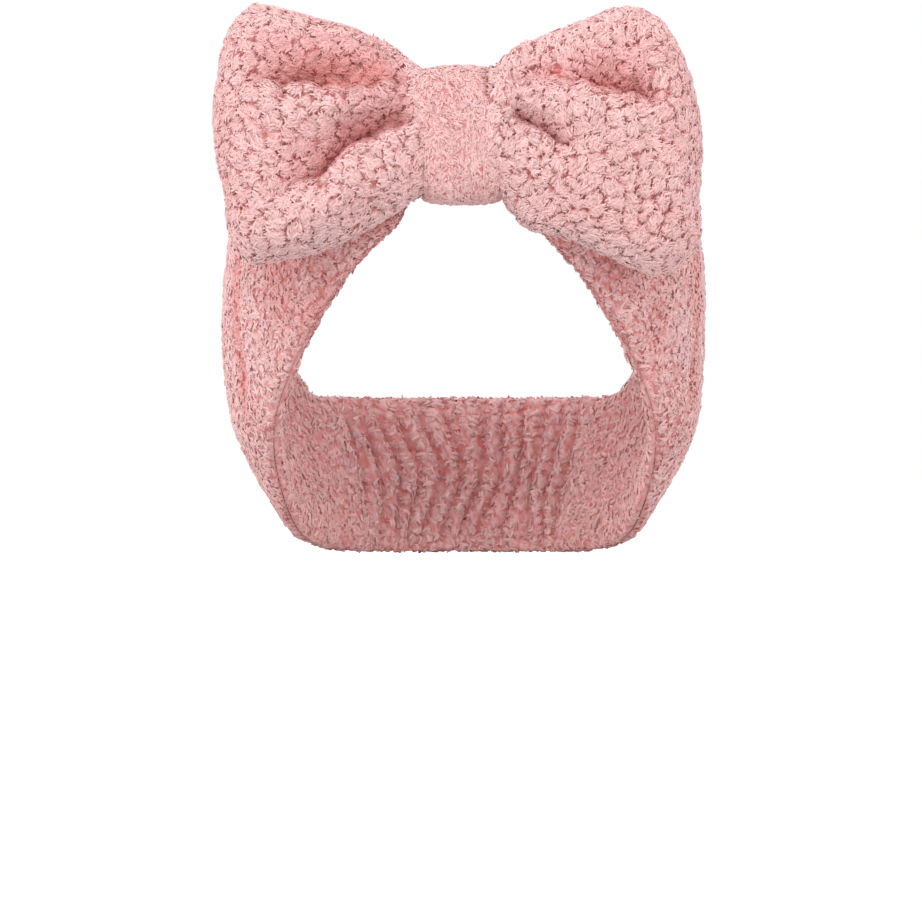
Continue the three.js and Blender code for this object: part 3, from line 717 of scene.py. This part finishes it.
def edge_pile(name, angles, end, count, seed):
    """Pile brushed over the sewn edge at one end of the width: locks that root on a narrow
    crowned strip along the edge and lie every way."""
    across = np.linspace(-1, 1, 9)[None, :]
    angles = angles[:, None]
    heights = end * (1.0 - 0.02 * across ** 2) + 0 * angles
    strip = band_surface(angles, heights, 2.4 * across)
    strip[..., 2] += end * 0.4 * (1 - across ** 2)
    facing = end * np.sign(angles[-1, 0] - angles[0, 0])
    moved, _, grown = raise_pile(strip, facing, seed=seed, depth=0.4, **BAND_TUFTS)
    grown["fullness"] = np.ones(moved.shape[:2])
    return lock_piece(name, moved, grown, count, seed + 10, band_locks,
                      length=2.5, width=1.0, scatter=1.2)


for side, name in SIDES:
    for end, edge in EDGES:
        angles = side * np.linspace(0.8, PANEL_END, 110)
        line = band_surface(angles, end * 0.975 + 0 * angles, 0)
        seam = thread_piece(f"band_seam_{edge}_{name}", line, SEAM_RADIUS, seam_thread)
        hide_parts(f"band_{edge}_seam_{name}")
        angles = side * np.linspace(NECK_END, PANEL_END + 0.4, 160)
        pile = edge_pile(f"band_{edge}_edge_pile_{name}", angles, end, 1100, 250 + 2 * side + end)
        for piece, slot in ((seam, "sewing_thread"), (pile, "plush_band")):
            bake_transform(piece)


# ---------------------------------------------------------------------------
# Rear casing: two narrow strips of the fleece with the elastic between them.
# The elastic pulls them short, so they stand in small upright gathers.
# ---------------------------------------------------------------------------

CASING_START = 139.9
ELASTIC_GAP = 1.0


def casing_gathers(angle, height):
    """Gathers in mm: uneven upright waves about 10 mm apart, which lean and die out at the
    edges."""
    walk = angle / 6.6 + 0.6 * noise(angle / 11, height * 1.2, 75) + 0.3 * height
    return (4.2 * np.abs(np.sin(np.pi * walk)) - 2.9) * (1 - np.abs(height) ** 4)


def make_casing(name, node, direction, thickness, sizes, seed, cloth, locks_of):
    """One layer of the casing, its pile and its locks. The direction is 1 for the outer layer
    and -1 for the inner one, and the sizes are rows, columns and locks."""
    angles = np.linspace(CASING_START, 360 - CASING_START, sizes[0])[:, None]
    heights = across_cloth(sizes[1])[None, :]
    lift = layer_depth(thickness - PILE_INSET, angles, heights) + casing_gathers(angles, heights)
    points = band_surface(angles, heights * EDGE_REACH, direction * (ELASTIC_GAP + lift))
    # Painted shade in the gathers' valleys and a painted highlight on their crests.
    painted_shade_and_tone = -0.3 * casing_gathers(angles, heights)
    moved, mask, grown = raise_pile(points, direction, seed=seed, depth=1.3, painted_shade_and_tone=painted_shade_and_tone,
                                    pitch=(5.0, 4.6), spread=1.0)
    inner = band_surface(angles, across_cloth(7)[None, :] * EDGE_REACH, direction * ELASTIC_GAP)
    casing = cloth_piece(f"{name}_cloth", moved, inner, mask, cloth)
    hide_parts(node)
    locks = lock_piece(f"{name}_pile", moved, grown, sizes[2], seed + 10, locks_of,
                       length=2.5, width=1.0)
    for piece in (casing, locks):
        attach(piece, "rear")


make_casing("casing_outer", "rear_casing_outer", 1, 7.0, (200, 86, 4600), 300,
            band_cloth, band_locks)
make_casing("casing_inner", "rear_casing_inner", -1, 6.0, (150, 64, 2400), 320,
            lining_cloth, lining_locks)

for end, edge in EDGES:
    angles = np.linspace(CASING_START, 360 - CASING_START, 80)
    line = band_surface(angles, end * 0.985 + 0 * angles, 0)
    seam = thread_piece(f"casing_seam_thread_{edge}", line, SEAM_RADIUS, seam_thread)
    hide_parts(f"casing_{edge}_seam")
    pile = edge_pile(f"casing_{edge}_edge_pile", angles, end, 600, 270 + end)
    for piece, slot in ((seam, "sewing_thread"), (pile, "plush_band")):
        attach(piece, "rear")


# ---------------------------------------------------------------------------
# Elastic: a woven strip with lengthwise cords, 30 mm wide, inside the casing.
# A bar of stitches tacks each of its ends to the cloth, and a pressed seam
# joins the casing to each side of the band.
# ---------------------------------------------------------------------------

ELASTIC_WIDTH = 30.0
TACK_START, TACK_END = 139.95, 141.7


def elastic_material():
    """Woven elastic: undyed cotton over rubber cords, with the weft showing as fine cross ribs."""
    material, nodes, links = new_material("woven_elastic")
    set_inputs(nodes["Principled BSDF"], Roughness=0.8)
    place = nodes.new("ShaderNodeUVMap")
    place.uv_map = "OFBake"
    weft = set_inputs(nodes.new("ShaderNodeTexWave"), Scale=40, Distortion=0.6)
    links.new(place.outputs["UV"], weft.inputs["Vector"])
    add_two_colours(material, weft, (0.66, 0.56, 0.53, 1), (0.85, 0.77, 0.74, 1))
    return material


def strip_in_casing(name, start, end, rows, material, cords):
    """A flat strip between the casing's layers, with lengthwise cords raised as half circles."""
    angles = np.linspace(start, end, rows)[:, None]
    across = np.linspace(-1, 1, 61)[None, :]
    raised = 0.45 + 0.15 * np.sqrt(np.clip(1 - ((across * cords / 2) % 1 * 2 - 1) ** 2, 0, 1))
    heights = across * ELASTIC_WIDTH / WIDTH_REAR
    outer = band_surface(angles, heights + 0 * angles, raised + 0 * angles)
    inner = band_surface(angles, heights[:, ::4] + 0 * angles, -0.55 + 0 * angles)
    return cloth_piece(name, outer, inner, np.ones(outer.shape[:2]), material)


elastic = strip_in_casing("elastic_strip", TACK_END + 0.1, 359.9 - TACK_END, 120,
                          elastic_material(), cords=10)
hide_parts("rear_elastic")
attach(elastic, "rear")


def make_join_pile(name, side, direction, depth, material, seed):
    """Pile brushed over a join seam, which then shows only as a shallow dip."""
    angles = side * np.linspace(137.9, 141.4, 9)[:, None]
    heights = 0.98 * across_cloth(60)[None, :]
    points = band_surface(angles, heights, direction * layer_depth(depth, angles, heights))
    # Painted shade: the locks over the join are darkened throughout, as in the dip over the seam.
    moved, _, grown = raise_pile(points, side * direction, seed=seed, depth=0.6, painted_shade_and_tone=0.2,
                                 spread=1.1)
    locks = lock_piece(name, moved, grown, 420, seed + 10, material,
                       length=2.6, width=1.05, scatter=0.9)
    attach(locks, "rear")


for side, name in SIDES:
    make_join_pile(f"join_outer_pile_{name}", side, 1, 6.6, band_locks, 342 + side)
    make_join_pile(f"join_inner_pile_{name}", side, -1, 5.8, lining_locks, 346 + side)
    tack = strip_in_casing(f"elastic_bar_{name}", side * TACK_START, side * TACK_END, 8,
                           seam_thread, cords=14)
    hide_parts(f"elastic_tack_{name}")
    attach(tack, "rear")
    angles = side * np.linspace(136.6, 140.4, 12)[:, None]
    heights = across_cloth(60)[None, :]
    raised = layer_depth(5.2, angles, heights)
    join = cloth_piece(f"join_allowance_{name}", band_surface(angles, 0.98 * heights, raised),
                       band_surface(angles, 0.98 * heights[:, ::4], -0.9 * raised[:, ::4]),
                       0.5 + 0 * raised, band_cloth)
    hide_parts(f"rear_join_seam_{name}")
    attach(join, "rear")


# ---------------------------------------------------------------------------
# Bow: two loops of doubled fleece, pinched in the middle so that each front
# falls into deep pleats. Front and back panels are sewn together at the edge.
# ---------------------------------------------------------------------------

WAIST_Y = -102.4
LOOP_START = 9.0
WALL_GAP, LEAST_DEPTH = 0.3, 0.8
bow_cloth = cloth_material("bow_plush")
bow_locks = lock_material("bow_pile")


def through(places, values, at):
    """A smooth curve through a few points: cubic pieces with slopes from their neighbours."""
    places, values = np.asarray(places, float), np.asarray(values, float)
    slopes = np.gradient(values, places)
    i = np.clip(np.searchsorted(places, at) - 1, 0, len(places) - 2)
    span = places[i + 1] - places[i]
    t = np.clip((at - places[i]) / span, 0, 1)
    return ((1 + 2 * t) * (1 - t) ** 2 * values[i] + t * (1 - t) ** 2 * span * slopes[i]
            + t * t * (3 - 2 * t) * values[i + 1] + t * t * (t - 1) * span * slopes[i + 1])


# Each loop's outline in mm: its edges as distance from the centre and height, and how far its
# outer fold reaches from the lower corner (-1) to the upper one (1).
LEFT_LOOP = {
    "side": -1, "name": "left", "grain": 0.1, "turned": -0.25,
    "top": ((12, 20, 28, 40, 54, 72, 84), (84, 89, 95, 101, 105.5, 110.5, 112.5)),
    "bottom": ((12, 21, 43, 60, 76, 92), (45, 39, 26.5, 19.5, 16, 14)),
    "fold": ((-1, -0.82, -0.5, -0.2, 0.1, 0.45, 0.72, 0.88, 1),
             (82, 88.5, 91, 94, 95.8, 94, 91, 87, 80)),
}
RIGHT_LOOP = {
    "side": 1, "name": "right", "grain": 0.35, "turned": 0.45,
    "top": ((12, 20, 32, 50, 62, 70), (88, 95.5, 100.5, 106.5, 110.8, 110.8)),
    "bottom": ((12, 22, 41, 54, 69, 80, 88), (44, 31, 24.5, 20, 14, 10.5, 10.5)),
    "fold": ((-1, -0.84, -0.4, 0.1, 0.35, 0.6, 0.8, 0.93, 1),
             (79, 86.5, 89, 89.5, 87.5, 83.5, 78.5, 73, 66)),
}


def tuck(above, depth, fade):
    """A pleat: nothing below its line, deepest just above it, then fading upwards."""
    return -depth * smooth(above, -1.2, 1.6) * np.exp(-np.maximum(above - 1.6, 0) / fade)


def left_relief(d, z):
    """Pleats of the left loop in mm. An upper valley opens over a level line, and a lower one
    over a line that falls away from the knot. Each valley is deepest just above its line, and
    the cloth swells below it."""
    upper = z - through((15, 24, 50, 75, 90), (83, 82, 80.5, 81.5, 85), d)
    upper += 1.6 * noise(d / 5, z / 9, 81)
    relief = tuck(upper, 17 * smooth(d, 15, 38) * (1 - smooth(d, 58, 90)), 15)
    lower = z - through((15, 20, 31, 44, 51, 58, 70), (68, 67, 63, 56.5, 49.5, 44.5, 40), d)
    lower += 1.4 * noise(d / 5, z / 9, 82)
    relief += tuck(lower, 14 * smooth(d, 15, 28) * (1 - smooth(d, 44, 78)), 13)
    swell = 3.5 * bell(lower, -12, 11) * smooth(d, 13, 26) * (1 - smooth(d, 55, 85))
    shelf = 2.5 * bell(upper, -7, 6) * smooth(d, 18, 35) * (1 - smooth(d, 60, 92))
    bridge = (1.6 + 2.4 * bell(z, 73, 9)) * (1 - smooth(d, 19, 36))
    lumps = 1.3 * noise(d / 11, z / 11, 84)
    return relief + swell + shelf + bridge + lumps


def right_relief(d, z):
    """Pleats of the right loop in mm: a long upper valley, deepest near its outer end, and a
    short crease beside the knot."""
    upper = z - through((12, 25, 46, 58, 67, 78), (82.5, 82.5, 81.5, 79, 76.5, 74), d)
    upper += 1.4 * noise(d / 5, z / 9, 85)
    depth = (4.5 * smooth(d, 14, 24) + 8 * smooth(d, 34, 54)) * (1 - smooth(d, 64, 79))
    relief = tuck(upper, depth, 13)
    short = z - through((14, 18, 32, 45), (70, 68, 61, 55), d) + 1.2 * noise(d / 5, z / 9, 86)
    shelf = 2.0 * bell(upper, -8, 6) * smooth(d, 18, 35) * (1 - smooth(d, 60, 82))
    bridge = (1.6 + 2.2 * bell(z, 76, 8)) * (1 - smooth(d, 19, 36))
    lobe = 3 * bell(short, -12, 9) * (1 - smooth(d, 24, 44))
    relief += tuck(short, 9 * smooth(d, 15, 21) * (1 - smooth(d, 28, 48)), 8)
    lumps = 1.3 * noise(d / 11, z / 11, 87)
    return relief + shelf + bridge + lobe + lumps


def loop_plane(d):
    """Where a loop's two walls meet: at the waist's depth near the knot, and further back by the
    square of the distance out from there."""
    return WAIST_Y + 10 * ((d - 17) / 79) ** 2


def loop_grid(loop, rows, columns, direction, relief):
    """Points of one wall of a loop, and its painted shade. The grid runs out from the knot and
    up from the lower edge, and its last 28% of rows round the last 20% of the length. The half
    depth grows out from the knot and rounds off like an ellipse at the outer fold and at both
    edges; direction is -1 for the front wall and 1 for the back."""
    out = np.linspace(0, 1, rows)[:, None]
    s = np.where(out < 0.72, out / 0.72 * 0.80, 0.80 + 0.20 * np.sin((out - 0.72) / 0.28 * np.pi / 2))
    v = across_cloth(columns)[None, :]
    fold = through(*loop["fold"], v)
    d = LOOP_START + (fold - LOOP_START) * s
    top = through(*loop["top"], LOOP_START + (loop["top"][0][-1] - LOOP_START) * s)
    bottom = through(*loop["bottom"], LOOP_START + (loop["bottom"][0][-1] - LOOP_START) * s)
    z = bottom + (top - bottom) * (v + 1) / 2
    root = 9.5 + 9.5 * smooth(d, 18, 54)
    end = np.sqrt(np.clip(1 - np.clip((s - 0.80) / 0.20, 0, 1) ** 2, 0, 1))
    edge = np.sqrt(np.clip(1 - np.abs(v) ** 3.2, 0, 1))
    depth = LEAST_DEPTH + (root - LEAST_DEPTH) * end * edge
    painted_shade_and_tone = 0 * depth
    if relief is not None:
        pleats = relief(d, z)
        # Painted shade in the pleats' valleys, a painted highlight on their swells, and a painted
        # highlight along both edges, where the wall turns under.
        painted_shade_and_tone = np.clip(-pleats / 12, -0.2, 1) - 0.4 * smooth(np.abs(v), 0.7, 1)
        depth = np.maximum(depth + pleats * end * np.clip(2 * edge, 0, 1), LEAST_DEPTH)
    y = loop_plane(d) + direction * (depth + WALL_GAP)
    return np.stack([loop["side"] * d, y, z], axis=-1), painted_shade_and_tone


def bend_loop(piece):
    """Bakes the placement of a piece of a loop into its mesh."""
    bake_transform(piece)


def make_loop_wall(loop, wall, direction, relief, sizes, seed):
    """One wall of a loop, its pile and its locks, which are larger on the plain back. The sizes
    are rows, columns and locks."""
    name = loop["name"]
    points, painted_shade_and_tone = loop_grid(loop, sizes[0], sizes[1], direction, relief)
    facing = -direction * loop["side"]
    moved, mask, grown = raise_pile(points, facing, seed=seed, painted_shade_and_tone=painted_shade_and_tone,
                                    grain=loop["grain"], turned=loop["turned"])
    inner, _ = loop_grid(loop, sizes[0], 9, direction, None)
    inner[..., 1] = loop_plane(np.abs(inner[..., 0])) + WALL_GAP * direction
    panel = cloth_piece(f"bow_{wall}_cloth_{name}", moved, inner, mask, bow_cloth)
    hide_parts(f"bow_{wall}_{name}")
    size = 1 if direction < 0 else 1.35
    locks = lock_piece(f"bow_{wall}_pile_{name}", moved, grown, sizes[2], seed + 10, bow_locks,
                       length=2.5 * size, width=0.78 * size)
    for piece in (panel, locks):
        bend_loop(piece)


make_loop_wall(LEFT_LOOP, "front", -1, left_relief, (190, 210, 12000), 400)
make_loop_wall(RIGHT_LOOP, "front", -1, right_relief, (185, 210, 11500), 420)
make_loop_wall(LEFT_LOOP, "back", 1, None, (100, 110, 4000), 440)
make_loop_wall(RIGHT_LOOP, "back", 1, None, (100, 110, 3800), 460)


def loop_rim(loop):
    """The line where a loop's two walls meet: along the upper edge, down the outer fold and back
    along the lower edge. Returns its points, its direction and the way out of the loop."""
    grid, _ = loop_grid(loop, 40, 40, 1, None)
    rim = np.concatenate([grid[3:-1, -1], grid[-1, ::-1], grid[-2:2:-1, 0]])
    rim[:, 1] = loop_plane(np.abs(rim[:, 0]))
    along = unit(np.gradient(rim, axis=0))
    out = loop["side"] * np.stack([-along[:, 2], 0 * along[:, 1], along[:, 0]], axis=-1)
    return rim, along, out


def make_rim_pile(loop, count, seed):
    """Pile brushed over the sewn edge: locks that root on a narrow crowned strip along the seam
    and lie every way."""
    rim, along, out = loop_rim(loop)
    across = np.linspace(-1, 1, 9)[None, :, None]
    backwards = np.array([0, 1.0, 0])
    strip = rim[:, None] + 2.2 * across * backwards - (0.3 + 1.2 * across ** 2) * out[:, None]
    full = np.ones(strip.shape[:2])
    grown = {"fullness": full, "normals": unit(out[:, None] + 0.8 * across * backwards),
             "lay": along[:, None] + 0 * strip, "painted_shade_and_tone": 0 * full}
    return lock_piece(f"bow_edge_pile_{loop['name']}", strip, grown, count, seed, bow_locks,
                      length=2.6, width=0.9, scatter=1.6)


for loop, seed in ((LEFT_LOOP, 480), (RIGHT_LOOP, 481)):
    rim, _, out = loop_rim(loop)
    seam = thread_piece(f"bow_seam_{loop['name']}", rim - 1.4 * out, SEAM_RADIUS, seam_thread)
    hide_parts(f"bow_edge_seam_{loop['name']}")
    pile = make_rim_pile(loop, 1300, seed)
    for piece, slot in ((seam, "sewing_thread"), (pile, "plush_bow")):
        bend_loop(piece)


# ---------------------------------------------------------------------------
# Knot: a strip of fleece wrapped round the bow's waist and the band's neck and
# hand-sewn behind. Its pile is brushed up and down, finer than on the loops.
# ---------------------------------------------------------------------------

KNOT_LOW, KNOT_HIGH = 37.0, 88.5
KNOT_FRONT, KNOT_REAR = -117.0, -74.0
KNOT_HALF_WIDTH, KNOT_POWER = 16.4, 3.4
STITCH_TURNS, STITCH_RADIUS = 8.5, 0.38
knot_cloth = cloth_material("knot_plush")
knot_locks = lock_material("knot_pile")


def knot_grid(rounds, columns):
    """The knot as a closed ring. The first angle runs round the waist and the neck, along a
    rounded box whose corners follow |y|^p + |z|^p = 1; the second runs round the strip's own
    section, which is wide, thin and crowned. The strip leans to the left towards the top of its
    front, and is widest in the middle and narrowest at the bottom."""
    turn = np.linspace(0, 2 * np.pi, rounds, endpoint=False)[:, None]
    section = np.linspace(-np.pi, np.pi, columns, endpoint=False)[None, :]
    y, z = np.cos(turn), np.sin(turn)
    half_y, half_z = (KNOT_REAR - KNOT_FRONT) / 2, (KNOT_HIGH - KNOT_LOW) / 2
    power = KNOT_POWER
    size = (np.abs(y) ** power + np.abs(z) ** power) ** (-1 / power)
    front = smooth(-y, -0.2, 0.9)
    thick = 2.4 + 3.2 * front
    out = np.sign(np.cos(section)) * np.abs(np.cos(section)) ** 0.8
    across = np.sign(np.sin(section)) * np.abs(np.sin(section)) ** 0.85
    height = z * size
    half_width = KNOT_HALF_WIDTH - 0.6 * smooth(height, 0, 1) - 1.8 * smooth(-height, 0, 1)
    centre = -1.0 - 5.5 * smooth(height, 0.1, 1) * front
    swell = thick * (out - 1)
    waist = 1.6 * front * (1 - across ** 2)
    x = centre + half_width * across
    ny = np.sign(y) * np.abs(y * size) ** (power - 1) / half_y
    nz = np.sign(z) * np.abs(z * size) ** (power - 1) / half_z
    length = np.hypot(ny, nz)
    py = (KNOT_FRONT + KNOT_REAR) / 2 + half_y * y * size + ny / length * (swell + waist)
    pz = (KNOT_LOW + KNOT_HIGH) / 2 + half_z * height + nz / length * (swell + waist)
    return np.stack([x + 0 * turn, py, pz], axis=-1)


def ring_piece(name, grid, mask, material):
    """A closed ring from a grid whose last row and column meet its first. On the faces where
    they meet, the low end of the map is moved up by 1, so that it doesn't run backwards."""
    rows, columns = grid.shape[:2]
    at = np.arange(rows * columns).reshape(rows, columns)
    right, up = np.roll(at, -1, axis=0), np.roll(at, -1, axis=1)
    both = np.roll(right, -1, axis=1)
    faces = np.stack([at, right, both, up], axis=-1).reshape(-1, 4)
    piece = new_mesh(name, grid, faces.ravel(), np.full(len(faces), 4), material)
    set_map(piece, grid_map(np.arange(rows) / rows, np.arange(columns) / columns))
    layer = piece.data.uv_layers["OFBake"]
    places = np.empty(2 * len(piece.data.loops), np.float32)
    layer.data.foreach_get("uv", places)
    places = places.reshape(-1, 4, 2)
    crosses = np.ptp(places, axis=1, keepdims=True) > 0.5
    layer.data.foreach_set("uv", (places + (crosses & (places < 0.5))).astype(np.float32).ravel())
    set_mask(piece, mask.ravel())
    return piece


def make_knot():
    """The knot, its pile and its locks. The pile dies out where the grid closes, behind and
    inside, and no locks stand on the side that faces the waist and the neck."""
    points = knot_grid(200, 100)
    wrapped = np.concatenate([points, points[:1]], axis=0)
    wrapped = np.concatenate([wrapped, wrapped[:, :1]], axis=1)
    moved, mask, grown = raise_pile(wrapped, 1, seed=500, depth=0.9, pitch=(3.8, 3.2), spread=0.7)
    seam = 1 - smooth(np.abs(np.linspace(-1, 1, wrapped.shape[1]))[None, :], 0.93, 1)
    ends = 1 - smooth(np.abs(np.linspace(-1, 1, wrapped.shape[0]))[:, None], 0.97, 1)
    moved = wrapped + (moved - wrapped) * (seam * ends)[..., None]
    outside = np.cos(np.linspace(-np.pi, np.pi, wrapped.shape[1])) > -0.05
    rear = smooth(moved[..., 1], KNOT_FRONT + 10, KNOT_REAR)
    grown["fullness"] = (0.72 + 0.1 * grown["fullness"] - 0.07 * rear) * outside[None, :]
    knot = ring_piece("knot_cloth", moved[:-1, :-1], mask[:-1, :-1], knot_cloth)
    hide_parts("knot_wrap")
    locks = lock_piece("knot_pile", moved, grown, 8500, 510, knot_locks,
                       length=2.2, width=0.68, rise=0.46, scatter=0.5)
    for piece in (knot, locks):
        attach(piece, "front")


make_knot()


def make_closing_stitches():
    """Whip stitches that close the strip behind the band: one thread that winds over and under
    the seam line as it goes along."""
    turn = np.linspace(0, 2 * np.pi * STITCH_TURNS, 260)
    path = np.stack([-13.5 + 27 * turn / turn[-1], -73.6 + 1.5 * np.cos(turn),
                     NECK_HEIGHT + 1.9 * np.sin(turn)], axis=-1)
    stitches = thread_piece("knot_whip_stitches", path, STITCH_RADIUS, seam_thread)
    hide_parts("knot_closing_stitch")
    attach(stitches, "front")


make_closing_stitches()


# ---------------------------------------------------------------------------
# Inside the knot: the bow's gathered waist, the thread wound round it and the
# seam that joins the band's two halves. They keep their shapes from the frame.
# ---------------------------------------------------------------------------

for node, material in (("bow_waist", bow_cloth), ("bow_gather_thread", seam_thread),
                       ("front_centre_seam", seam_thread)):
    bpy.data.objects[node].material_slots[0].material = material
